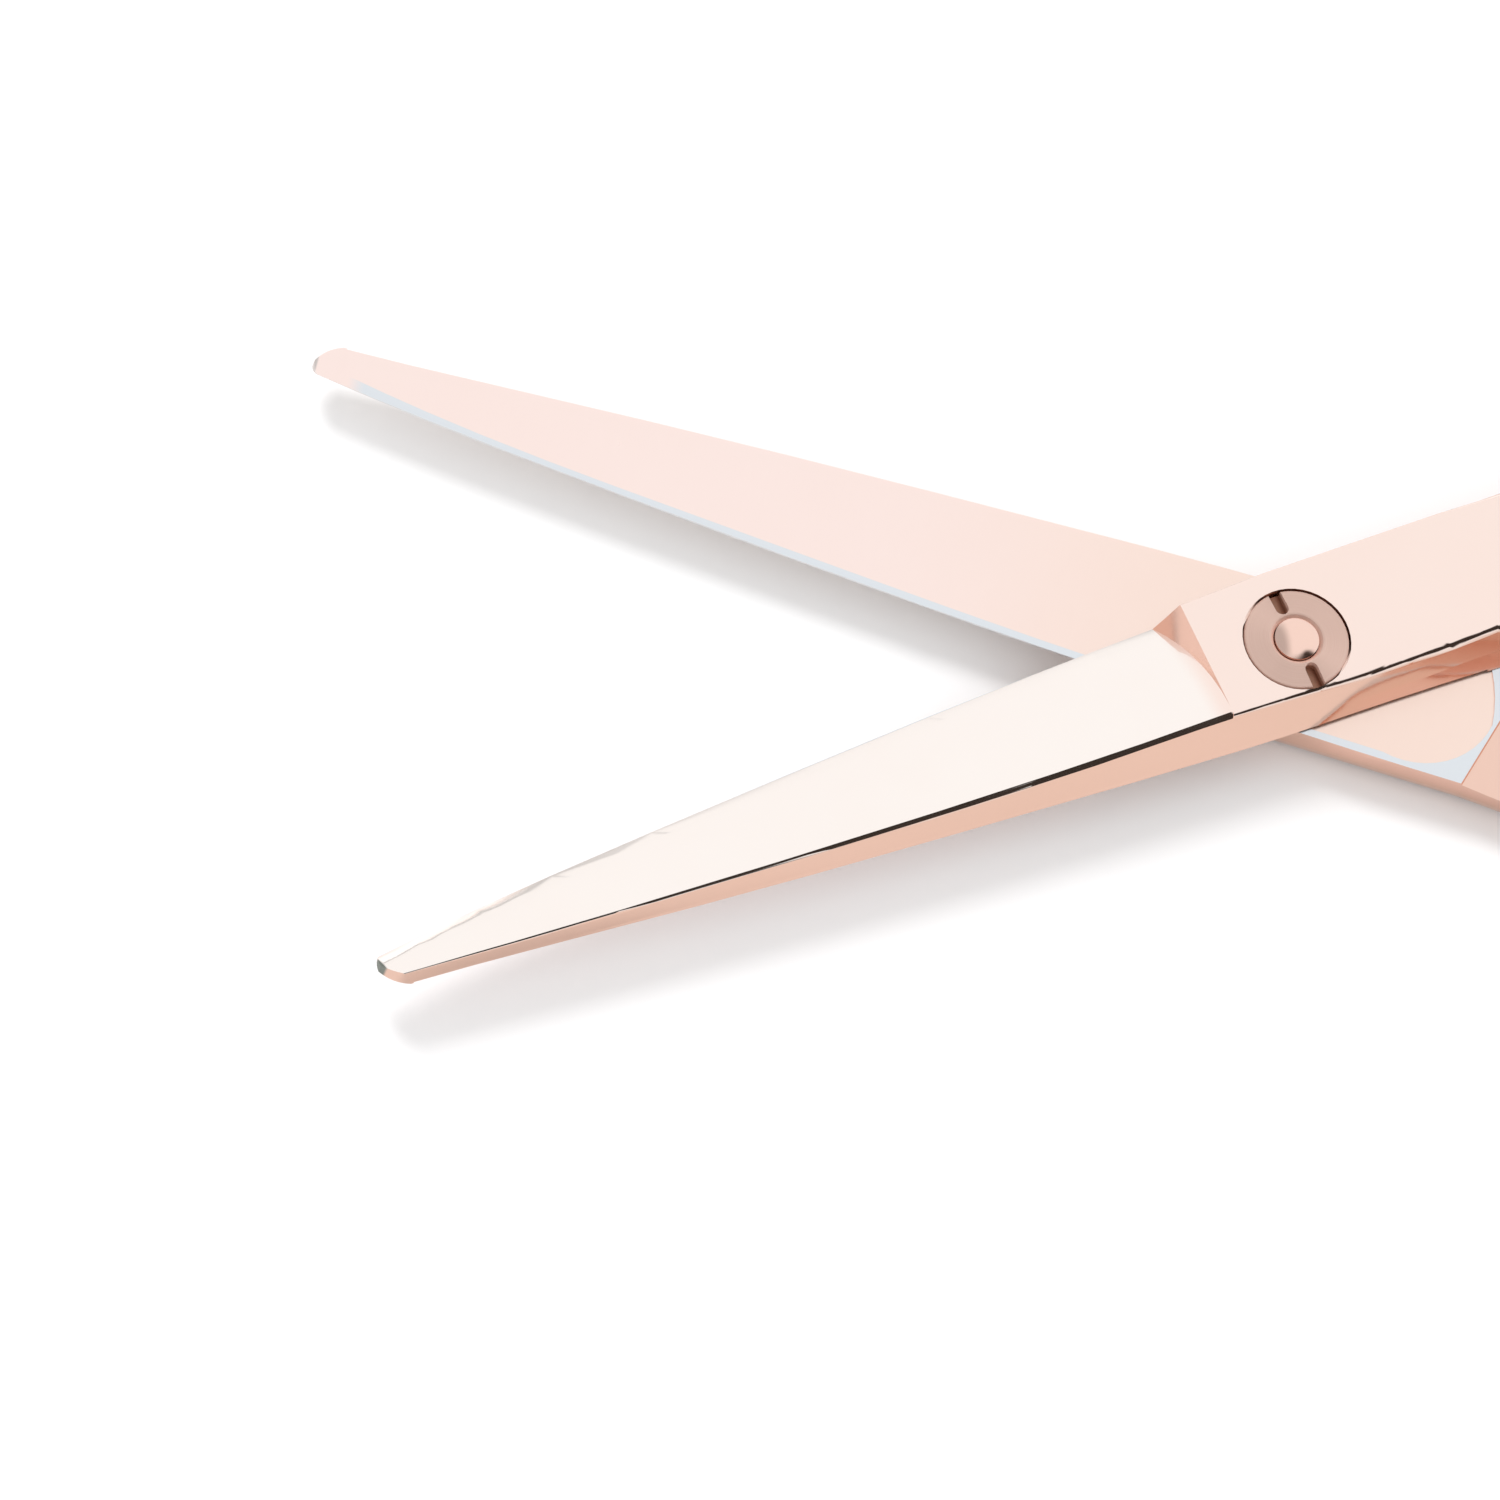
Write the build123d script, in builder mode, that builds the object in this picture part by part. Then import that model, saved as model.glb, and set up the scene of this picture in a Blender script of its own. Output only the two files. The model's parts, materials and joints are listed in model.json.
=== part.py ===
from build123d import *
import os
from math import asin, atan2, cos, degrees, radians, sin, tan

# Right-handed hair cutting shears, standing 38 degrees open.
# Row frame: +Z is the pivot axis, the tips point to -X and the finger rings to +X.
# The origin is on the flat back of the pivot bolt's head, which the shears rest on.
#
# Each half is drawn on its own plane. That plane lies in the ride plane, where the two
# halves meet, with its x along the closed shears towards the rings, its y towards that
# half's own ring, and its z outwards, away from the other half.

# ---- driving dimensions, in millimetres ----
ride_height = 3.4           # ride plane above the rest face
half_opening = 19.07        # each blade stands this many degrees from the centre line
ride_gap = 0.06             # running gap between the two inner faces
plateau = 3.0               # thickness of a half at the pivot
tip_reach = 70.45           # pivot to blunt tip

handle_top = 2.7            # half the thickness of the handles and rings
ring_radius = 14.3
ring_bore = 11.4
ring_height = 5.4
finger_ring_x = 67.7        # finger ring's centre, on the finger half's plane
finger_ring_y = 15.6
thumb_ring_x = 54.5         # the thumb ring sits closer to the pivot
thumb_ring_y = 16.4

insert_bore = 10.1
insert_lip = 12.7

dial_radius = 3.72
dial_pocket_radius = 3.86
dial_floor = 1.80           # the dial stands on this level above the ride plane
dial_rim = 2.94
bolt_radius = 2.20
bolt_flat = 1.80            # half the distance over the bolt's two flats
thread_radius = 1.57
head_radius = 3.50
bush_radius = 2.90
washer_radius = 4.10
washer_recess = 0.30

spring_floor = 1.40
spring_pocket_radius = 3.45
bolt_shoulder = 1.70
bolt_tip = 3.52             # top of the bolt's domed end, which shows inside the dial
dome_height = 0.46
slot_start = 1.98           # the key slots run from here out through the dial's rim
slot_width = 0.95
slot_depth = 0.70
slot_angle = 109            # row-frame direction of the slots at rest
head_floor = 2.10           # level of the head's pocket in the thumb half
head_under = 2.34

bumper_x = 54.5
bumper_face = 1.3           # near side of the finger shank, where the bumper sits
bumper_seat = 2.2
bumper_radius = 1.0
bumper_head = 1.9
bumper_reach = 3.2

rest_angle = 14             # where the finger rest leaves the finger ring
rest_bend = 62
rest_length = 22
stud_length = 1.6
stud_radius = 1.1
rest_stations = [(0.0, 2.1, 2.1), (0.25, 1.75, 1.75), (0.6, 1.9, 1.6), (0.9, 2.3, 1.6), (1.0, 1.5, 1.0)]


# ---- the two halves' planes ----
def half_plane(angle, outward):
    return Plane(
        origin=(0, 0, ride_height),
        x_dir=(cos(radians(angle)), sin(radians(angle)), 0),
        z_dir=(0, 0, outward),
    )


finger_plane = half_plane(half_opening, 1)
thumb_plane = half_plane(-half_opening, -1)
pivot_plane = finger_plane


def station(half, x):
    """Cross-section plane at distance x from the pivot, its x across and its y outwards."""
    origin = half.from_local_coords(Vector(x, 0, 0))
    return Plane(origin=origin, x_dir=half.y_dir, z_dir=half.x_dir)


def side_plane(half, y):
    """Side-view plane at distance y across, its x along the half and its y outwards."""
    origin = half.from_local_coords(Vector(0, y, 0))
    return Plane(origin=origin, x_dir=half.x_dir, z_dir=-half.y_dir)


def on_finger(x, y):
    """A point at mid-thickness on the finger half's plane."""
    return finger_plane.from_local_coords(Vector(x, y, 0))


# The dial's two key slots lie along this plane's x.
slot_plane = Plane(
    origin=pivot_plane.origin, x_dir=(cos(radians(slot_angle)), sin(radians(slot_angle)), 0), z_dir=(0, 0, 1)
)

# The finger rest leaves the ring along its radius and bends outwards in one arc.
rest_root = on_finger(
    finger_ring_x + ring_radius * cos(radians(rest_angle)),
    finger_ring_y + ring_radius * sin(radians(rest_angle)),
)
rest_heading = half_opening + rest_angle
rest_plane = Plane(
    origin=rest_root, x_dir=(0, 0, 1), z_dir=(cos(radians(rest_heading)), sin(radians(rest_heading)), 0)
)
rest_path = JernArc(rest_root, rest_plane.z_dir, rest_length / radians(rest_bend), rest_bend)


# ---- forging: one half of the shears ----
# Blade stations: distance ahead of the pivot, spine, ridge and cutting edge, each
# measured across from the centre line, and how far polishing has rounded the ridge.
blade_stations = [
    (72.0, 1.72, 1.27, 0.52, 0.07),
    (60.0, 2.34, 2.07, 1.94, 0.10),
    (40.0, 3.78, 3.05, 3.48, 0.17),
    (20.0, 4.85, 3.69, 4.67, 0.24),
    (6.0, 5.48, 3.78, 5.17, 0.30),
]
# Lap stations: distance behind the pivot, spine at the ride plane, crease across and
# up, ridge and how far it is rounded back, edge side half way up and at the ride plane.
lap_stations = [
    (0.0, 5.58, 5.37, 0.40, 3.98, 0.34, 5.50, 5.30),
    (7.0, 5.62, 5.08, 1.00, 4.15, 0.48, 5.54, 5.44),
    (14.0, 5.80, 4.98, 1.25, 3.92, 0.50, 5.58, 5.48),
]
finger_edge_top = 5.40      # edge side of the lap at the top of each half
thumb_edge_top = 4.95
# Shank stations: share of the way from the lap to the ring, near side, far side,
# thickness above the ride plane and how far the corners are rounded back.
shank_stations = [
    (0.16, -2.9, 6.0, 2.97, 0.7),
    (0.32, 0.1, 6.4, 2.85, 1.0),
    (0.50, 1.1, 6.9, 2.72, 1.2),
    (0.70, 1.3, 7.7, 2.55, 1.2),
    (0.86, 1.4, 8.6, 2.35, 1.1),
    (1.00, 1.8, 9.0, 2.10, 0.9),
]
ridge_fall = 0.0235         # the blade thins by this much per millimetre
blade_crease = 0.40         # height of the crease that grows into the shank's lower band
land = 0.14                 # thickness left at the cutting edge
step_top = 6.7              # the plateau ends in a step here
step_foot = 8.2


def corner_arc(before, corner, after, cut):
    """The three points of an arc that rounds a corner, starting a cut's length before it."""
    back = (before - corner).normalized()
    ahead = (after - corner).normalized()
    middle = (back + ahead).normalized()
    cosine = middle.dot(back)
    sagitta = cut / cosine - cut * (1 - cosine ** 2) ** 0.5 / cosine
    return corner + back * cut, corner + middle * sagitta, corner + ahead * cut


def outline_section(half, x, corners, bulges, cuts):
    """A closed section: corners in order, joined by gentle arcs, with rounded corners."""
    count = len(corners)
    points = [Vector(*corner) for corner in corners]
    rounds = {}
    for index, cut in cuts:
        rounds[index] = corner_arc(points[index - 1], points[index], points[(index + 1) % count], cut)
    with BuildSketch(station(half, x)) as section:
        with BuildLine():
            for index, bulge in enumerate(bulges):
                following = (index + 1) % count
                start = rounds[index][2] if index in rounds else points[index]
                end = rounds[following][0] if following in rounds else points[following]
                if bulge:
                    SagittaArc(start, end, bulge)
                else:
                    Line(start, end)
                if following in rounds:
                    ThreePointArc(*rounds[following])
        make_face()
    return section.sketch


def blade_section(half, ahead, spine, ridge, edge, rounding):
    ridge_up = ridge_height(ahead)
    top = spine - (spine - ridge) * plateau / ridge_up
    crease = spine - (spine - ridge) * blade_crease / ridge_up
    corners = [
        (edge, -handle_top), (-spine, -handle_top), (-spine, 0), (-crease, blade_crease),
        (-top, plateau), (edge, plateau), (edge, 1.5), (edge, 0),
    ]
    bulges = [0, 0, 0.005, 0.02, 0, 0.01, 0.01, 0]
    cuts = [(0, 0.1), (1, 0.1), (4, 0.8 * rounding), (5, 0.1)]
    return outline_section(half, -ahead, corners, bulges, cuts)


def lap_section(half, edge_top, behind, spine, crease, crease_up, ridge, ridge_cut, full, low_edge):
    corners = [
        (low_edge, -handle_top), (-spine, -handle_top), (-spine, 0), (-crease, crease_up),
        (-ridge, plateau), (edge_top, plateau), (full, 1.5), (low_edge, 0),
    ]
    bulges = [0, 0, -0.01 * crease_up, 0.02, 0, 0.15 * (full - edge_top), 0.02, 0]
    cuts = [(0, 0.1), (1, 0.1), (4, ridge_cut), (5, 0.12)]
    return outline_section(half, behind, corners, bulges, cuts)


def shank_section(half, x, near, far, top, corner_cut):
    bottom = -min(top, handle_top - 0.05)
    corners = [
        (far - 0.4, bottom), (near + 0.4, bottom), (near, 0), (near + 0.1, 0.45 * top),
        (near + 0.6, top), (far - 0.6, top), (far - 0.1, 0.45 * top), (far, 0),
    ]
    bulges = [0, 0.1, 0.02, 0.08, 0, 0.08, 0.02, 0.1]
    cuts = [(corner, corner_cut) for corner in (0, 1, 4, 5)]
    return outline_section(half, x, corners, bulges, cuts)


def ridge_height(ahead):
    return plateau - ridge_fall * (ahead - step_top)


def crown_section(half, ahead, spine, ridge, edge, rounding):
    """Everything outside the blade's convex outer face and its softened ridge."""
    corner = Vector(-ridge, ridge_height(ahead))
    end = Vector(edge, land)
    chord = end - corner
    sagitta = 0.085 * chord.length
    radius = chord.length ** 2 / (8 * sagitta) + sagitta / 2
    inward = Vector(chord.Y, -chord.X).normalized()
    centre = (corner + end) * 0.5 + inward * (radius - sagitta)
    first = atan2(corner.Y - centre.Y, corner.X - centre.X) - rounding / radius
    last = atan2(end.Y - centre.Y, end.X - centre.X) - 1.0 / radius
    crown = [centre + Vector(radius * cos(a), radius * sin(a)) for a in (last, (first + last) / 2, first)]
    # The ridge turns half its angle in one arc, and the arc's end runs out past the spine.
    spine_way = Vector(ridge - spine, -corner.Y).normalized()
    ridge_end = corner + spine_way * rounding
    turn = radians((corner - crown[2]).get_angle(spine_way)) / 4
    ridge_chord = ridge_end - crown[2]
    outward = Vector(ridge_chord.Y, -ridge_chord.X).normalized()
    ridge_middle = (crown[2] + ridge_end) * 0.5 + outward * ridge_chord.length / 2 * tan(turn / 2)
    run_out = ridge_end + ridge_chord.normalized().rotate(Axis.Z, degrees(turn))
    with BuildSketch(station(half, -ahead)) as section:
        with BuildLine():
            ThreePointArc(*crown)
            ThreePointArc(crown[2], ridge_middle, ridge_end)
            Polyline(ridge_end, run_out, (run_out.X, 6), (crown[0].X, 6), crown[0])
        make_face()
    return section.sketch


def outer_grind(half):
    """The stock taken off outside the blade, ending in the sloping step at the pivot."""
    with BuildPart() as grind:
        loft([crown_section(half, *row) for row in blade_stations])
        slope = (step_foot - step_top) / (plateau - land)
        with BuildSketch(side_plane(half, -10)):
            with BuildLine():
                Polyline(
                    (-80, -1), (-step_foot - slope, -1 + land), (-step_top + 3 * slope, plateau + 3),
                    (-80, plateau + 3), close=True,
                )
            make_face()
        extrude(amount=-20, mode=Mode.INTERSECT)
    return grind.part


def tip_waste(half):
    """What is cut away around the blunt, rounded tip."""
    with BuildPart() as waste:
        with BuildSketch(half.offset(-4)):
            with BuildLine():
                ThreePointArc((-67.2, -1.98), (-69.75, -1.15), (-tip_reach, -0.2))
                ThreePointArc((-tip_reach, -0.2), (-70.3, 0.42), (-69.6, 1.2))
                Polyline((-69.6, 1.2), (-69.6, 4), (-76, 4), (-76, -5), (-67.2, -5), (-67.2, -1.98))
            make_face()
        extrude(amount=9)
    return waste.part


def inner_waste(half):
    """The inner side: ride face, relief behind the half-moon, and the ramp up to the handle."""
    with BuildPart() as waste:
        with BuildSketch(half.offset(ride_gap / 2)):
            Polygon((-80, -12), (19.0, -12), (12.2, 12), (-80, 12), align=None)
        extrude(amount=-6)
        with BuildSketch(half.offset(0.22)):
            Polygon((18.9, -12), (37, -12), (31.5, -2.0), (20.0, 7.5), (20.0, 12), (12.1, 12), align=None)
        extrude(amount=-6, taper=-28)
    return waste.part


def hollow_grind(half):
    """The shallow hollow in the inner face, with its round half-moon end behind the pivot."""
    with BuildPart() as hollow:
        with BuildSketch(half):
            with BuildLine():
                Spline((-68.5, 0.15), (-60, 1.40), (-40, 2.94), (-20, 4.13), (0, 4.78), (8, 4.88))
                ThreePointArc((8, 4.88), (12.8, 3.9), (15.0, 0.4))
                ThreePointArc((15.0, 0.4), (14.3, -3.2), (12.0, -7.0))
                Polyline((12.0, -7.0), (12.0, -9), (-68.5, -9), (-68.5, 0.15))
            make_face()
        extrude(amount=0.15)
    return hollow.part


def ring_blank(half, x, y):
    """A finger ring with rounded outer edges."""
    with BuildPart() as ring:
        axis_plane = Plane(
            origin=half.from_local_coords(Vector(x, y, 0)), x_dir=half.x_dir, z_dir=-half.y_dir
        )
        with BuildSketch(axis_plane) as section:
            with Locations(((ring_radius + ring_bore) / 2, 0)):
                Rectangle(ring_radius - ring_bore, ring_height)
            fillet(section.vertices().sort_by(Axis.X)[-2:], 1.3)
            fillet(section.vertices().sort_by(Axis.X)[:2], 0.3)
        revolve(axis=Axis(axis_plane.origin, half.z_dir))
    return ring.part


def forging(half, edge_top, ring_x, ring_y):
    """Blade, lap, shank and ring of one half, before its pivot holes."""
    blade = [blade_section(half, *row) for row in blade_stations]
    lap = [lap_section(half, edge_top, *row) for row in lap_stations]
    shank = []
    lap_end = lap_stations[-1][0]
    for share, near, far, top, cut in shank_stations:
        x = lap_end + share * (ring_x - 1 - lap_end)
        shift = (ring_y - ring_radius - 1.3) * share
        shank.append(shank_section(half, x, near + shift, far + shift, top, cut))
    with BuildPart() as blank:
        loft(blade + lap[:1])
        loft(lap)
        loft(lap[-1:] + shank)
        add(ring_blank(half, ring_x, ring_y))
        ring_cut(half, ring_x, ring_y)
        add(outer_grind(half), mode=Mode.SUBTRACT)
        add(inner_waste(half), mode=Mode.SUBTRACT)
        add(hollow_grind(half), mode=Mode.SUBTRACT)
        add(tip_waste(half), mode=Mode.SUBTRACT)
    return blank.part


def ring_cut(half, x, y):
    """The ring's bore, in the active part."""
    with BuildSketch(half.offset(-5)) as hole:
        with Locations((x, y)):
            Circle(ring_bore)
    extrude(hole.sketch, amount=10, mode=Mode.SUBTRACT)


def disc(plane, low, high, radius, hole=0, mode=Mode.ADD):
    """A round disc or ring between two levels of a plane, in the active part."""
    with BuildSketch(plane.offset(low)) as shape:
        Circle(radius)
        if hole:
            Circle(hole, mode=Mode.SUBTRACT)
    extrude(shape.sketch, amount=high - low, mode=mode)


def turned(plane, profile):
    """A turned piece: a closed profile of (radius, level) points revolved about the pivot."""
    with BuildSketch(Plane(origin=plane.origin, x_dir=plane.x_dir, z_dir=-plane.y_dir)) as shape:
        with BuildLine():
            Polyline(*profile, close=True)
        make_face()
    revolve(shape.sketch, axis=Axis(plane.origin, plane.z_dir))


def double_flat_cut(plane, low, high, radius, half_flat):
    """A round hole with two flats, which keeps the bolt from turning."""
    with BuildSketch(plane.offset(low)) as shape:
        Circle(radius)
        Rectangle(2 * half_flat, 3 * radius, mode=Mode.INTERSECT)
    extrude(shape.sketch, amount=high - low, mode=Mode.SUBTRACT)


os.makedirs("parts", exist_ok=True)

# ---- the two blades ----
with BuildPart() as front_blade:
    add(forging(finger_plane, finger_edge_top, finger_ring_x, finger_ring_y))
    disc(finger_plane, dial_floor - 0.02, plateau + 2, dial_pocket_radius, mode=Mode.SUBTRACT)
    disc(finger_plane, spring_floor, dial_floor, spring_pocket_radius, mode=Mode.SUBTRACT)
    disc(finger_plane, -1, washer_recess, washer_radius + 0.1, mode=Mode.SUBTRACT)
    double_flat_cut(finger_plane, -1, plateau, bolt_radius + 0.02, bolt_flat + 0.02)
    with BuildSketch(side_plane(finger_plane, bumper_face + bumper_seat)):
        with Locations((bumper_x, 0)):
            Circle(bumper_radius)
    extrude(amount=bumper_seat + 2, mode=Mode.SUBTRACT)
    with BuildSketch(rest_plane.offset(-stud_length)):
        Circle(stud_radius + 0.02)
    extrude(amount=stud_length + 2, mode=Mode.SUBTRACT)
front_blade.part.label = "front_blade"
export_step(front_blade.part, "parts/front_blade.step")

with BuildPart() as back_blade:
    add(forging(thumb_plane, thumb_edge_top, thumb_ring_x, thumb_ring_y))
    disc(thumb_plane, head_floor, plateau + 2, head_radius + 0.15, mode=Mode.SUBTRACT)
    disc(thumb_plane, -1, washer_recess, washer_radius, mode=Mode.SUBTRACT)
    disc(thumb_plane, -1, head_floor + 0.1, bush_radius, mode=Mode.SUBTRACT)
back_blade.part.label = "back_blade"
export_step(back_blade.part, "parts/back_blade.step")

# ---- the pivot, from the back to the front ----
# Levels are above the ride plane on the front, and below it (negative) on the back.
dome_radius = (thread_radius ** 2 + dome_height ** 2) / (2 * dome_height)
dome_half = asin(thread_radius / dome_radius) / 2
dome_point = (dome_radius * sin(dome_half), bolt_tip - dome_radius * (1 - cos(dome_half)))
with BuildPart() as pivot_bolt:
    with BuildSketch(Plane(origin=pivot_plane.origin, x_dir=pivot_plane.x_dir, z_dir=-pivot_plane.y_dir)):
        with BuildLine():
            Polyline(
                (0, bolt_tip), (0, -ride_height), (head_radius - 0.3, -ride_height),
                (head_radius, -ride_height + 0.3), (head_radius, -head_under), (bolt_radius, -head_under),
                (bolt_radius, bolt_shoulder), (thread_radius, bolt_shoulder),
                (thread_radius, bolt_tip - dome_height),
            )
            ThreePointArc((thread_radius, bolt_tip - dome_height), dome_point, (0, bolt_tip))
        make_face()
    revolve(axis=Axis(pivot_plane.origin, pivot_plane.z_dir))
    with BuildSketch(pivot_plane.offset(0.25)):
        with GridLocations(2 * bolt_flat + 2, 0, 2, 1):
            Rectangle(2, 6)
    extrude(amount=bolt_shoulder - 0.25, mode=Mode.SUBTRACT)
pivot_bolt.part.label = "pivot_bolt"
export_step(pivot_bolt.part, "parts/pivot_bolt.step")

with BuildPart() as head_washer:
    disc(pivot_plane, -head_under + 0.02, -head_floor, head_radius - 0.2, hole=bolt_radius + 0.1)
head_washer.part.label = "head_washer"
export_step(head_washer.part, "parts/head_washer.step")

with BuildPart() as pivot_bush:
    disc(pivot_plane, -head_floor, -washer_recess, bush_radius, hole=bolt_radius + 0.04)
pivot_bush.part.label = "pivot_bush"
export_step(pivot_bush.part, "parts/pivot_bush.step")

with BuildPart() as ride_washer:
    disc(pivot_plane, -washer_recess, washer_recess - 0.05, washer_radius - 0.05, hole=bolt_radius + 0.1)
ride_washer.part.label = "ride_washer"
export_step(ride_washer.part, "parts/ride_washer.step")

with BuildPart() as click_spring:
    disc(pivot_plane, spring_floor, spring_floor + 0.15, spring_pocket_radius - 0.1, hole=bolt_radius + 0.1)
    with BuildSketch(pivot_plane.offset(spring_floor + 0.15)):
        with PolarLocations(spring_pocket_radius - 0.55, 2, start_angle=45):
            Circle(0.3)
    extrude(amount=0.18)
click_spring.part.label = "click_spring"
export_step(click_spring.part, "parts/click_spring.step")

with BuildPart() as tension_dial:
    turned(pivot_plane, [
        (thread_radius + 0.05, dial_floor), (dial_radius - 0.1, dial_floor), (dial_radius, dial_floor + 0.1),
        (dial_radius, dial_rim - 0.06), (dial_radius - 0.06, dial_rim), (1.98, dial_rim + 0.16),
        (1.86, dial_rim + 0.14), (thread_radius + 0.12, dial_rim - 0.05), (thread_radius + 0.05, dial_rim - 0.15),
    ])
    with BuildSketch(slot_plane.offset(dial_rim - slot_depth)):
        with Locations((slot_start + 2, 0), (-slot_start - 2, 0)):
            SlotOverall(4, slot_width)
    extrude(amount=2, mode=Mode.SUBTRACT)
tension_dial.part.label = "tension_dial"
export_step(tension_dial.part, "parts/tension_dial.step")


# ---- soft ring inserts ----
def ring_insert(half, x, y):
    """A soft liner whose two lips grip the faces of the ring."""
    centre = half.from_local_coords(Vector(x, y, 0))
    with BuildPart() as liner:
        with BuildSketch(Plane(origin=centre, x_dir=half.x_dir, z_dir=-half.y_dir)) as section:
            with BuildLine():
                Polyline(
                    (insert_bore, -ride_height), (insert_lip, -ride_height), (insert_lip, -handle_top),
                    (ring_bore, -handle_top), (ring_bore, handle_top), (insert_lip, handle_top),
                    (insert_lip, ride_height), (insert_bore, ride_height), close=True,
                )
            make_face()
            corners = section.vertices().group_by(Axis.X)
            fillet(corners[0], 0.6)
            outer = section.vertices().sort_by(Axis.Y)
            fillet([outer[0], outer[-1]], 0.1)
        revolve(axis=Axis(centre, half.z_dir))
    return liner.part


with BuildPart() as finger_ring_insert:
    add(ring_insert(finger_plane, finger_ring_x, finger_ring_y))
finger_ring_insert.part.label = "finger_ring_insert"
export_step(finger_ring_insert.part, "parts/finger_ring_insert.step")

with BuildPart() as thumb_ring_insert:
    add(ring_insert(thumb_plane, thumb_ring_x, thumb_ring_y))
thumb_ring_insert.part.label = "thumb_ring_insert"
export_step(thumb_ring_insert.part, "parts/thumb_ring_insert.step")

# ---- bumper between the handles ----
with BuildPart() as bumper:
    with BuildSketch(side_plane(finger_plane, bumper_face + bumper_seat)):
        with Locations((bumper_x, 0)):
            Circle(bumper_radius - 0.02)
    extrude(amount=bumper_seat + 0.3)
    with BuildSketch(side_plane(finger_plane, bumper_face - 0.02)):
        with Locations((bumper_x, 0)):
            Circle(bumper_head)
    extrude(amount=bumper_reach)
    fillet(bumper.edges().filter_by(GeomType.CIRCLE).sort_by(Axis(finger_plane.origin, -finger_plane.y_dir))[-1], 0.9)
bumper.part.label = "bumper"
export_step(bumper.part, "parts/bumper.step")

# ---- screw-in finger rest ----
with BuildPart() as finger_rest:
    with BuildSketch(rest_plane.offset(-stud_length + 0.1)):
        Circle(stud_radius)
    extrude(amount=stud_length)
    sections = []
    for share, wide, thick in rest_stations:
        with BuildSketch(Plane(origin=rest_path @ share, x_dir=finger_plane.z_dir, z_dir=rest_path % share)) as oval:
            Ellipse(thick, wide)
        sections.append(oval.sketch)
    loft(sections)
finger_rest.part.label = "finger_rest"
export_step(finger_rest.part, "parts/finger_rest.step")
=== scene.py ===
"""Hair cutting shears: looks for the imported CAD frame. Lengths are in metres."""
import json
import math

import bpy
from mathutils import Matrix, Vector

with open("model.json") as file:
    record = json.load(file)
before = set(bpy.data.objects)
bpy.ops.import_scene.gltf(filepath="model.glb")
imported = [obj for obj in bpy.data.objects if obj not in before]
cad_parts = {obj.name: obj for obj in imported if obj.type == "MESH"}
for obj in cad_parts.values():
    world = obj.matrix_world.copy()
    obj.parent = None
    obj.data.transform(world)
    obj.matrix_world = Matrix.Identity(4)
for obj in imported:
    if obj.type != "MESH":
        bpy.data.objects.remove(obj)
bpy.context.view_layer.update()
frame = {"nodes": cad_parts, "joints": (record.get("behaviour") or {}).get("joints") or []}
MM = 0.001

# ---- places read from the frame ----
pivot_joint = next(j for j in frame["joints"] if j["name"] == "blade_pivot")
PIVOT = Vector(pivot_joint["pos_m"])
RIDE = PIVOT.z              # height of the plane where the two halves ride on each other


def blade_heading(node):
    """Angle of the line from the pivot to a blade's tip, about +Z."""
    tip = min((v.co for v in frame["nodes"][node].data.vertices), key=lambda co: co.x)
    return math.atan2(tip.y - PIVOT.y, tip.x - PIVOT.x)


def unit_vector(heading, rise):
    """The direction at these angles, in degrees: from +X about +Z, and above the horizon."""
    heading, rise = math.radians(heading), math.radians(rise)
    return Vector((math.cos(heading) * math.cos(rise), math.sin(heading) * math.cos(rise), math.sin(rise)))


# ---- camera: a long lens looking down at the blades ----
AIM = Vector((-38.85, -6.75, 3.4)) * MM
VIEW_AZIMUTH = 61.607       # heading of the view direction, degrees from +X
VIEW_DEPTH = 62.014         # degrees below the horizon
VIEW_ROLL = 25.08
VIEW_DISTANCE = 1.4885
LENS = 520.2                # focal length and sensor width in millimetres
SENSOR_WIDTH = 36


def add_camera():
    forward = unit_vector(VIEW_AZIMUTH, -VIEW_DEPTH)
    camera = bpy.data.objects.new("camera", bpy.data.cameras.new("camera"))
    camera.data.lens = LENS
    camera.data.sensor_width = SENSOR_WIDTH
    camera.data.clip_start = 0.05
    camera.location = AIM - forward * VIEW_DISTANCE
    look = forward.to_track_quat("-Z", "Y").to_matrix().to_4x4()
    roll = Matrix.Rotation(math.radians(VIEW_ROLL), 4, "Z")
    camera.matrix_world = Matrix.Translation(camera.location) @ look @ roll
    bpy.context.collection.objects.link(camera)
    bpy.context.scene.camera = camera


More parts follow.
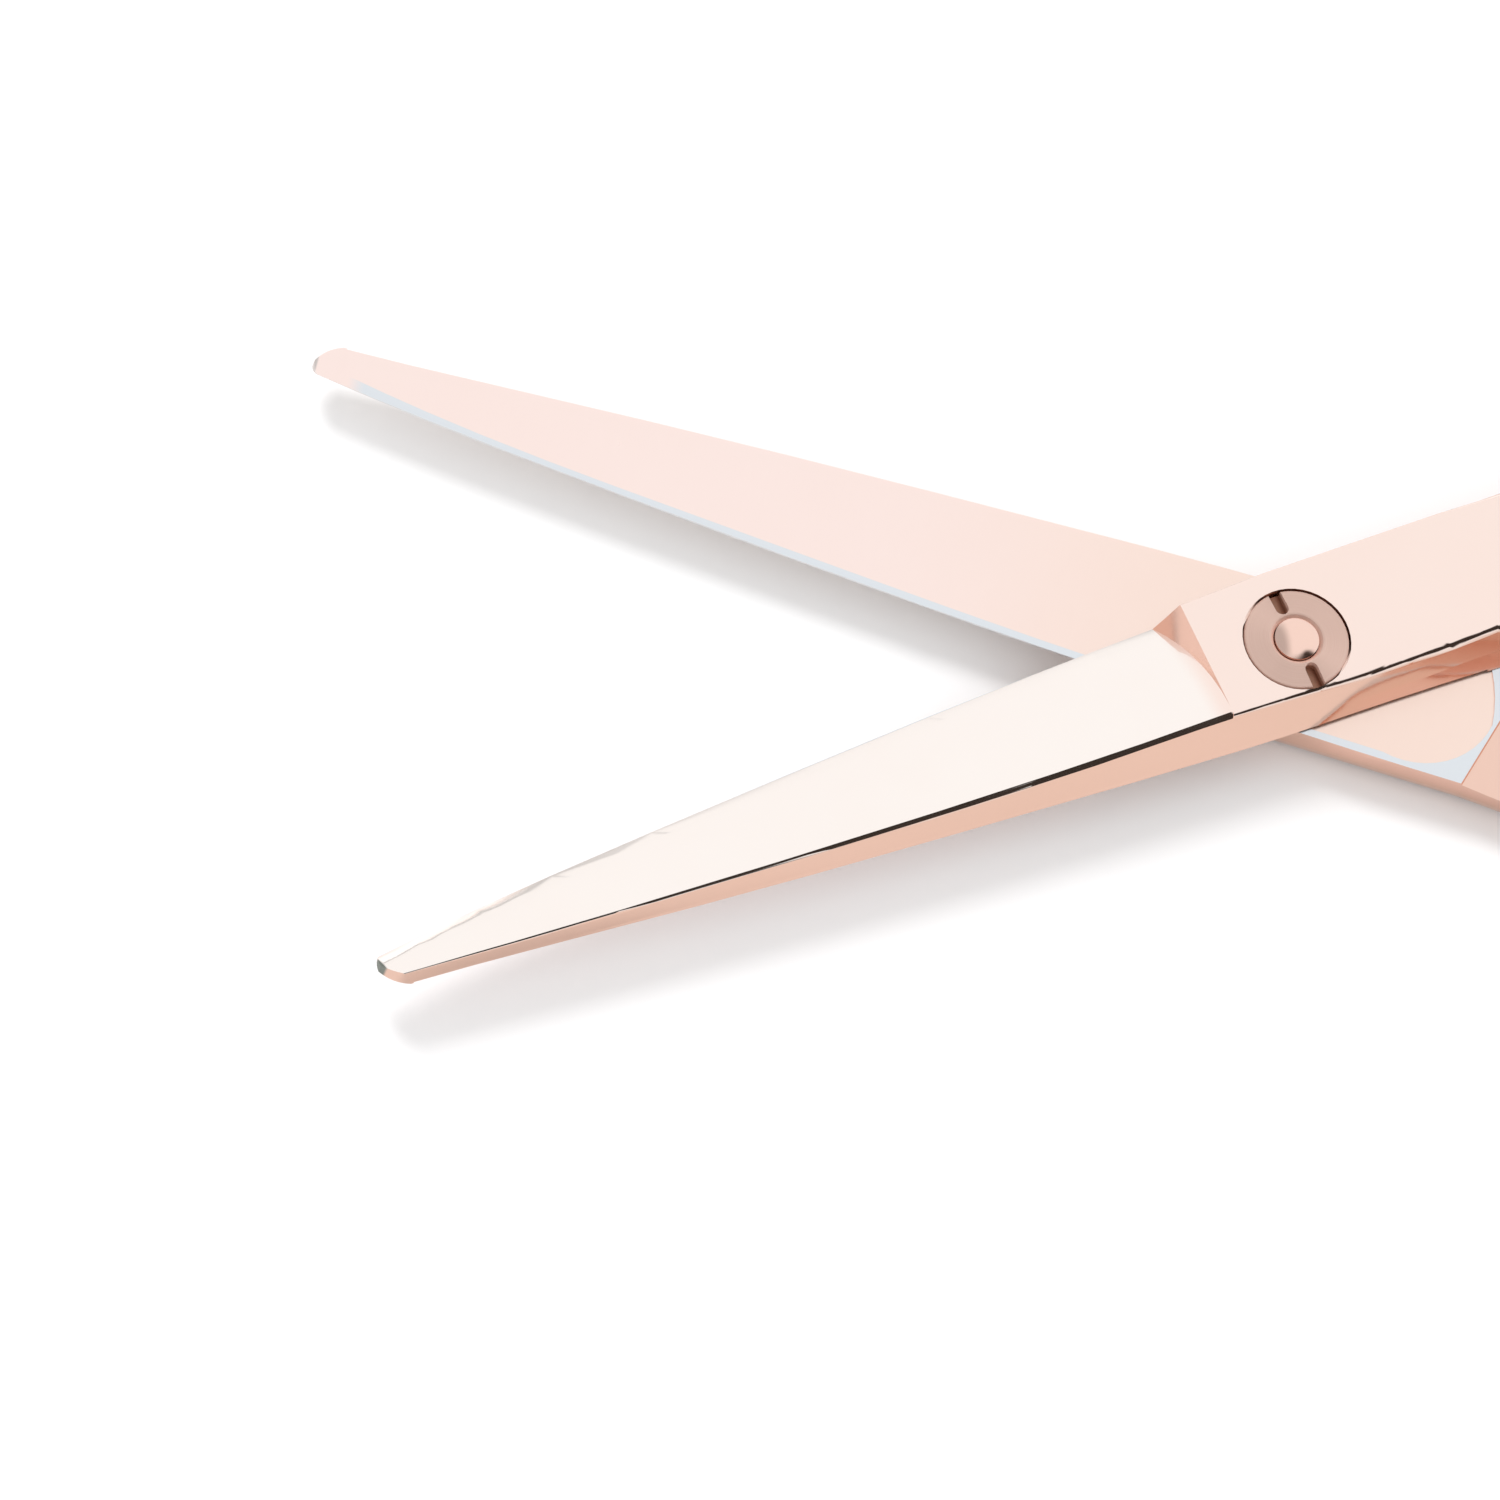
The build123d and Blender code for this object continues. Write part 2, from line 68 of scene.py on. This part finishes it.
# ---- node helpers ----
class Nodes:
    """Short calls for building a node tree."""

    def __init__(self, tree):
        self.tree = tree
        tree.nodes.clear()

    def new(self, kind, **settings):
        node = self.tree.nodes.new(kind)
        for name, value in settings.items():
            setattr(node, name, value)
        return node

    def link(self, source, target):
        self.tree.links.new(source, target)

    def put(self, socket, value):
        """Link an output to this socket, or set it to a constant."""
        if hasattr(value, "is_output"):
            self.link(value, socket)
        else:
            socket.default_value = value

    def math(self, operation, first, second=0.0, third=0.0):
        node = self.new("ShaderNodeMath", operation=operation)
        for socket, value in zip(node.inputs, (first, second, third)):
            self.put(socket, value)
        return node.outputs[0]

    def product(self, first, *others):
        for value in others:
            first = self.math("MULTIPLY", first, value)
        return first

    def scaled(self, value, factor, offset):
        """value * factor + offset"""
        return self.math("MULTIPLY_ADD", value, factor, offset)

    def axes(self, vector):
        """The X, Y and Z outputs of a vector."""
        node = self.new("ShaderNodeSeparateXYZ")
        self.link(vector, node.inputs[0])
        return node.outputs["X"], node.outputs["Y"], node.outputs["Z"]

    def ramp(self, value, start, end):
        """0 at start, 1 at end, smooth between; start may be the larger."""
        node = self.new("ShaderNodeMapRange", interpolation_type="SMOOTHSTEP")
        self.put(node.inputs["Value"], value)
        node.inputs["From Min"].default_value = start
        node.inputs["From Max"].default_value = end
        return node.outputs["Result"]

    def between(self, value, low, high, soft):
        """1 where low < value < high, with soft edges."""
        rise = self.ramp(value, low - soft, low + soft)
        fall = self.ramp(value, high - soft, high + soft)
        return self.math("SUBTRACT", rise, fall)

    def mix(self, factor, first, second):
        node = self.new("ShaderNodeMix", data_type="RGBA")
        self.put(node.inputs["Factor"], factor)
        self.put(node.inputs[6], first)
        self.put(node.inputs[7], second)
        return node.outputs[2]

    def mix_value(self, factor, first, second):
        node = self.new("ShaderNodeMix", data_type="FLOAT")
        self.put(node.inputs["Factor"], factor)
        self.put(node.inputs[2], first)
        self.put(node.inputs[3], second)
        return node.outputs[0]

    def noise(self, vector, scale, detail=3.0, roughness=0.5):
        node = self.new("ShaderNodeTexNoise")
        self.link(vector, node.inputs["Vector"])
        node.inputs["Scale"].default_value = scale
        node.inputs["Detail"].default_value = detail
        node.inputs["Roughness"].default_value = roughness
        return node.outputs["Fac"]

    def mapping(self, vector, scale=(1, 1, 1), turn=0.0):
        """The vector scaled along each axis and turned about +Z."""
        node = self.new("ShaderNodeMapping")
        self.link(vector, node.inputs["Vector"])
        node.inputs["Scale"].default_value = scale
        node.inputs["Rotation"].default_value = (0, 0, turn)
        return node.outputs["Vector"]

    def bump(self, height, distance, strength=1.0, normal=None):
        node = self.new("ShaderNodeBump")
        node.inputs["Distance"].default_value = distance
        node.inputs["Strength"].default_value = strength
        self.link(height, node.inputs["Height"])
        if normal is not None:
            self.link(normal, node.inputs["Normal"])
        return node.outputs["Normal"]


def new_material(name, metallic=0.0):
    """A new material, the helper for its node tree, and its shader."""
    material = bpy.data.materials.new(name)
    material.use_nodes = True
    n = Nodes(material.node_tree)
    shader = n.new("ShaderNodeBsdfPrincipled")
    output = n.new("ShaderNodeOutputMaterial")
    n.link(shader.outputs[0], output.inputs["Surface"])
    shader.inputs["Metallic"].default_value = metallic
    return material, n, shader


def object_coordinates(n):
    return n.new("ShaderNodeTexCoord").outputs["Object"]


# ---- colours ----
def srgb(red, green, blue):
    """An 8-bit display colour as the linear colour a shader takes."""
    channels = [channel / 255 for channel in (red, green, blue)]
    linear = [((c + 0.055) / 1.055) ** 2.4 if c > 0.04 else c / 12.92 for c in channels]
    return (*linear, 1.0)


def darker(colour, share):
    return tuple(channel * share for channel in colour[:3]) + (1.0,)


# Painted light: the two palest tones are the coating lit where it faces up, on the blade and on the flat
# round the pivot.
ROSE_PAINTED_SHEEN = srgb(254, 247, 242)
ROSE_LIT_FLAT = srgb(252, 232, 223)
ROSE_POLISHED = srgb(248, 214, 200)
ROSE_CLOUD = srgb(242, 206, 190)
# Painted shade: the next two tones are the coating darkened on the sides, in their lower band and on the
# step's facets; the deeper one also tints the dial's turned rings.
ROSE_SHADED_SIDE = srgb(220, 182, 163)
ROSE_DEEP = srgb(224, 182, 164)
ROSE_SATIN = srgb(254, 235, 229)
# Painted light: the inner face is painted warmer towards the pivot.
ROSE_PAINTED_WARMTH = srgb(252, 229, 217)
DIAL_FACE = srgb(254, 222, 208)
# Painted shade: the slots in the dial are painted darker.
DIAL_SLOT_SHADE = srgb(176, 132, 110)
BARE_STEEL = srgb(227, 232, 237)
TIP_STEEL = srgb(126, 130, 122)
TIP_PALE = srgb(214, 206, 202)
SPRING_STEEL = srgb(200, 202, 206)
BRONZE = srgb(190, 150, 96)
NYLON_WHITE = srgb(236, 234, 226)
LINER_PINK = srgb(238, 196, 184)
RUBBER_BLACK = srgb(60, 54, 52)

# ---- where a half's colour changes, by its finish and by painted light and shade: each pair is a ramp's start and end ----
# Distance from the pivot towards the tip.
PAINTED_SHEEN_REACH = (6.9 * MM, 8.6 * MM)           # painted sheen: the blade's outside is painted paler from the step on
STEP_REACH = (30 * MM, 20 * MM)
EDGE_START = (4 * MM, 6 * MM)
COATED_TIP = (68.0 * MM, 66.5 * MM)     # the land is not ground bare at the tip
TIP_END = (70.15 * MM, 70.3 * MM)
# Painted light: from here towards the pivot the inner face is painted warmer.
PAINTED_WARMTH_REACH = (32 * MM, 2 * MM)
LAP_SIDE = (-1 * MM, -5 * MM)
RELIEF_START = (-10 * MM, -11 * MM)
# Height above the ride plane, on the half's own side. The first two are low, high, softness.
LAND_HEIGHT = (0.0 * MM, 0.075 * MM, 0.01 * MM)
EDGE_HEIGHT = (0.05 * MM, 0.15 * MM, 0.008 * MM)
RELIEF_HEIGHT = (0.18 * MM, 0.2 * MM)
LOW_SIDE_HEIGHT = (1.35 * MM, 0.9 * MM)
EDGE_SIDE = (0.0, -0.1 * MM)            # distance across, to the side with the cutting edge
# The normal's part that points out from the ride plane, or towards the tip.
INNER_FACING = (-0.5, -0.75)
# FLAT_FACING picks faces painted in the lit tones; STEP_FACING picks the step's facets painted as shade.
FLAT_FACING = (0.55, 0.75)
STEP_FACING = (0.25, 0.4)


def blade_material(name, node, outward, tip_colour):
    """Rose gold coating on one half, with bare steel where it is ground to ride on the other, and painted
    light and shade by the way its faces turn.
    """
    material, n, shader = new_material(name, metallic=1.0)
    coordinates = object_coordinates(n)
    heading = blade_heading(node)
    local = n.mapping(coordinates, turn=-heading)
    along, across, height = n.axes(local)
    up = n.product(n.math("SUBTRACT", height, RIDE), outward)

    normal = n.new("ShaderNodeTexCoord").outputs["Normal"]
    facing_tip, _, facing_up = n.axes(n.mapping(normal, turn=-heading))
    facing_out = n.product(facing_up, outward)
    inner = n.ramp(facing_out, *INNER_FACING)
    # Painted light: faces turned up take the painted lit tones, the others the painted shade of the sides.
    flat = n.ramp(facing_out, *FLAT_FACING)
    # Painted shade: the step's facets that face the tip are painted in the deeper tone.
    step = n.product(n.ramp(facing_tip, *STEP_FACING), n.ramp(along, *STEP_REACH))
    ride_face = n.product(n.between(up, *LAND_HEIGHT), inner, n.ramp(along, *COATED_TIP))
    keen_edge = n.product(
        n.between(up, *EDGE_HEIGHT),
        n.ramp(along, *EDGE_START),
        n.ramp(n.product(across, outward), *EDGE_SIDE),
        n.math("SUBTRACT", 1.0, inner),
    )
    relief = n.product(inner, n.ramp(up, *RELIEF_HEIGHT), n.ramp(along, *RELIEF_START))
    # Painted shade: the lower band of the sides gets its own shaded tone.
    low_side = n.product(n.ramp(up, *LOW_SIDE_HEIGHT), n.ramp(along, *LAP_SIDE))
    tip_end = n.ramp(along, *TIP_END)

    # Painted light and shade on the one coating: faces turned up are painted pale, palest on the blade
    # past the step as a painted sheen; the sides and the step's facets are painted deeper as painted
    # shade.
    cloud = n.noise(coordinates, 140, 4)
    outer = n.mix(n.ramp(along, *PAINTED_SHEEN_REACH), ROSE_LIT_FLAT, ROSE_PAINTED_SHEEN)
    side = n.mix(low_side, ROSE_SHADED_SIDE, ROSE_DEEP)
    # Painted light: the inner face is painted warmer towards the pivot.
    satin = n.mix(n.ramp(along, *PAINTED_WARMTH_REACH), ROSE_SATIN, ROSE_PAINTED_WARMTH)
    coat_and_painted_shading = n.mix(flat, side, outer)
    # Painted shade on the step's facets.
    coat_and_painted_shading = n.mix(step, coat_and_painted_shading, ROSE_DEEP)
    coat_and_painted_shading = n.mix(inner, coat_and_painted_shading, satin)
    coat_and_painted_shading = n.mix(relief, coat_and_painted_shading, ROSE_CLOUD)
    coat_and_painted_shading = n.mix(n.product(cloud, 0.10), coat_and_painted_shading, ROSE_CLOUD)
    colour = n.mix(n.math("MAXIMUM", ride_face, keen_edge), coat_and_painted_shading, BARE_STEEL)
    n.link(n.mix(tip_end, colour, tip_colour), shader.inputs["Base Color"])

    # Grinding lines run across the inner face; the outside is polished.
    lines = n.noise(n.mapping(local, scale=(9000, 260, 260)), 1.0, 2, 0.7)
    fine = n.noise(n.mapping(local, scale=(300, 5200, 900)), 1.0, 3, 0.6)
    rough = n.mix_value(inner, n.scaled(fine, 0.06, 0.07), n.scaled(lines, 0.16, 0.24))
    n.link(n.mix_value(tip_end, rough, 0.5), shader.inputs["Roughness"])
    ground = n.bump(n.product(lines, inner), 0.004 * MM, 0.5)
    n.link(n.bump(fine, 0.0008 * MM, 0.35, ground), shader.inputs["Normal"])
    return material


def rose_metal(name, colour):
    """Polished rose gold coating with faint polishing lines."""
    material, n, shader = new_material(name, metallic=1.0)
    coordinates = object_coordinates(n)
    fine = n.noise(n.mapping(coordinates, scale=(700, 4800, 1500)), 1.0, 3, 0.6)
    cloud = n.noise(coordinates, 160, 4)
    n.link(n.mix(n.product(cloud, 0.2), colour, ROSE_CLOUD), shader.inputs["Base Color"])
    n.link(n.scaled(fine, 0.08, 0.10), shader.inputs["Roughness"])
    n.link(n.bump(fine, 0.001 * MM, 0.35), shader.inputs["Normal"])
    return material


DIAL_FACE_HEIGHT = (RIDE + 2.5 * MM, RIDE + 2.8 * MM)   # below it are the slots, painted darker as painted shade


def turned_metal(name):
    """The dial's face: rose gold with fine rings left by turning, and painted shade in its slots."""
    material, n, shader = new_material(name, metallic=1.0)
    x, y, z = n.axes(object_coordinates(n))
    radius = n.math("SQRT", n.math("ADD", n.math("POWER", x, 2.0), n.math("POWER", y, 2.0)))
    noise = n.new("ShaderNodeTexNoise", noise_dimensions="1D")
    n.link(radius, noise.inputs["W"])
    noise.inputs["Scale"].default_value = 16000
    noise.inputs["Detail"].default_value = 2
    rings = noise.outputs["Fac"]
    # Painted shade: below the face height, in the slots, the colour is painted darker.
    face = n.mix(n.ramp(z, *DIAL_FACE_HEIGHT), DIAL_SLOT_SHADE, DIAL_FACE)
    n.link(n.mix(n.product(rings, 0.3), face, ROSE_DEEP), shader.inputs["Base Color"])
    n.link(n.scaled(rings, 0.14, 0.46), shader.inputs["Roughness"])
    n.link(n.bump(rings, 0.003 * MM, 0.6), shader.inputs["Normal"])
    tangent = n.new("ShaderNodeTangent", direction_type="RADIAL", axis="Z")
    n.link(tangent.outputs[0], shader.inputs["Tangent"])
    shader.inputs["Anisotropic"].default_value = 0.9
    shader.inputs["Anisotropic Rotation"].default_value = 0.25
    return material


def soft_material(name, colour, roughness, grain):
    """A moulded soft plastic or rubber; grain is the depth of its fine speckle."""
    material, n, shader = new_material(name)
    coordinates = object_coordinates(n)
    speckle = n.noise(coordinates, 6000, 2)
    cloud = n.noise(coordinates, 220, 3)
    n.link(n.mix(n.product(cloud, 0.6), colour, darker(colour, 0.86)), shader.inputs["Base Color"])
    n.link(n.scaled(speckle, 0.15, roughness), shader.inputs["Roughness"])
    n.link(n.bump(speckle, grain, 0.5), shader.inputs["Normal"])
    return material


def plain_metal(name, colour, roughness):
    """A machined or rolled metal without a coating, as inside the pivot."""
    material, n, shader = new_material(name, metallic=1.0)
    fine = n.noise(object_coordinates(n), 3000, 3)
    n.link(n.mix(fine, colour, darker(colour, 0.9)), shader.inputs["Base Color"])
    n.link(n.scaled(fine, 0.12, roughness), shader.inputs["Roughness"])
    return material


def dress(node, material):
    data = frame["nodes"][node].data
    data.materials.clear()
    data.materials.append(material)


dress("front_blade", blade_material("front_blade_metal", "front_blade", 1, TIP_STEEL))
dress("back_blade", blade_material("back_blade_metal", "back_blade", -1, TIP_PALE))
polished = rose_metal("polished_rose", ROSE_POLISHED)
dress("pivot_bolt", polished)
dress("finger_rest", polished)
dress("tension_dial", turned_metal("turned_rose"))
dress("click_spring", plain_metal("spring_steel", SPRING_STEEL, 0.3))
dress("pivot_bush", plain_metal("bush_bronze", BRONZE, 0.35))
nylon = soft_material("nylon", NYLON_WHITE, 0.4, 0.004 * MM)
dress("head_washer", nylon)
dress("ride_washer", nylon)
liner = soft_material("liner_silicone", LINER_PINK, 0.42, 0.006 * MM)
dress("finger_ring_insert", liner)
dress("thumb_ring_insert", liner)
dress("bumper", soft_material("bumper_rubber", RUBBER_BLACK, 0.5, 0.008 * MM))

# ---- floor and light ----
FLOOR_SIZE = 6
FLOOR_COLOUR = (0.93, 0.93, 0.935, 1)
KEY_AZIMUTH = 114           # degrees from +X
KEY_ELEVATION = 48
KEY_SPREAD = 20             # width of the softbox as seen from the shears, degrees
KEY_STRENGTH = 1.3
STUDIO_WHITE = (1.0, 1.0, 1.0, 1)
STUDIO_DARK = (0.035, 0.025, 0.02, 1)
SKY_FILL = 0.94             # how much of the floor's light comes from the whole studio
HALF_DARK = 0.45            # how dark the skirting and the dim end are, beside the near side
# Ramps on the direction a ray leaves in: each pair is its start and end.
NEAR_SIDE = (0.28, 0.45)
NEAR_TOP = (0.90, 0.78)
NEAR_FOOT = (0.30, 0.42)
FAR_SIDE = (0.5, 0.8)
SKIRTING_TOP = (0.06, 0.03)
DIM_END = (-0.02, -0.45)
AFTER_ONE_BOUNCE = 2        # depth of a ray that reaches the studio after one bounce


def add_floor():
    bpy.ops.mesh.primitive_plane_add(size=FLOOR_SIZE, location=(0, 0, 0))
    floor = bpy.context.object
    floor.name = "floor"
    material, n, shader = new_material("floor")
    shader.inputs["Base Color"].default_value = FLOOR_COLOUR
    shader.inputs["Roughness"].default_value = 0.9
    shader.inputs["Specular IOR Level"].default_value = 0.0
    floor.data.materials.append(material)


def add_key():
    """A large distant softbox. It casts the soft shadow but is not mirrored in the metal."""
    light = bpy.data.lights.new("key", "SUN")
    light.angle = math.radians(KEY_SPREAD)
    light.energy = KEY_STRENGTH
    toward = unit_vector(KEY_AZIMUTH, KEY_ELEVATION)
    lamp = bpy.data.objects.new("key", light)
    lamp.location = toward
    lamp.rotation_euler = (-toward).to_track_quat("-Z", "Y").to_euler()
    lamp.visible_glossy = False
    bpy.context.collection.objects.link(lamp)


def add_world():
    """A white studio whose darker parts are seen only as mirrored in the metal."""
    world = bpy.data.worlds.new("studio")
    bpy.context.scene.world = world
    world.use_nodes = True
    n = Nodes(world.node_tree)
    output = n.new("ShaderNodeOutputWorld")
    background = n.new("ShaderNodeBackground")
    x, y, z = n.axes(n.new("ShaderNodeTexCoord").outputs["Generated"])
    # The studio is dark on the side the camera stands on, except at the floor and overhead.
    side = n.scaled(y, -1.0, n.product(x, 0.25))
    near = n.product(n.ramp(side, *NEAR_SIDE), n.ramp(z, *NEAR_TOP), n.ramp(z, *NEAR_FOOT))
    # Behind the shears there is only a thin dark skirting at the horizon.
    skirting = n.product(n.ramp(y, *FAR_SIDE), n.ramp(z, *SKIRTING_TOP), HALF_DARK)
    # The tips point to the dimmer end of the studio.
    dim_end = n.product(n.ramp(x, *DIM_END), HALF_DARK)
    dark = n.math("MAXIMUM", n.math("MAXIMUM", near, skirting), dim_end)
    # Metal mirrors the dark parts once; light that bounced twice comes from a plain white room.
    path = n.new("ShaderNodeLightPath")
    mirrored = path.outputs["Is Glossy Ray"]
    first_bounce = n.math("LESS_THAN", path.outputs["Ray Depth"], AFTER_ONE_BOUNCE + 0.5)
    dark = n.product(dark, mirrored, first_bounce)
    n.link(n.mix(dark, STUDIO_WHITE, STUDIO_DARK), background.inputs["Color"])
    n.link(n.mix_value(mirrored, SKY_FILL, 1.0), background.inputs["Strength"])
    n.link(background.outputs[0], output.inputs["Surface"])


add_camera()
add_floor()
add_world()
add_key()
scene = bpy.context.scene
scene.view_settings.view_transform = "Standard"
scene.view_settings.look = "None"
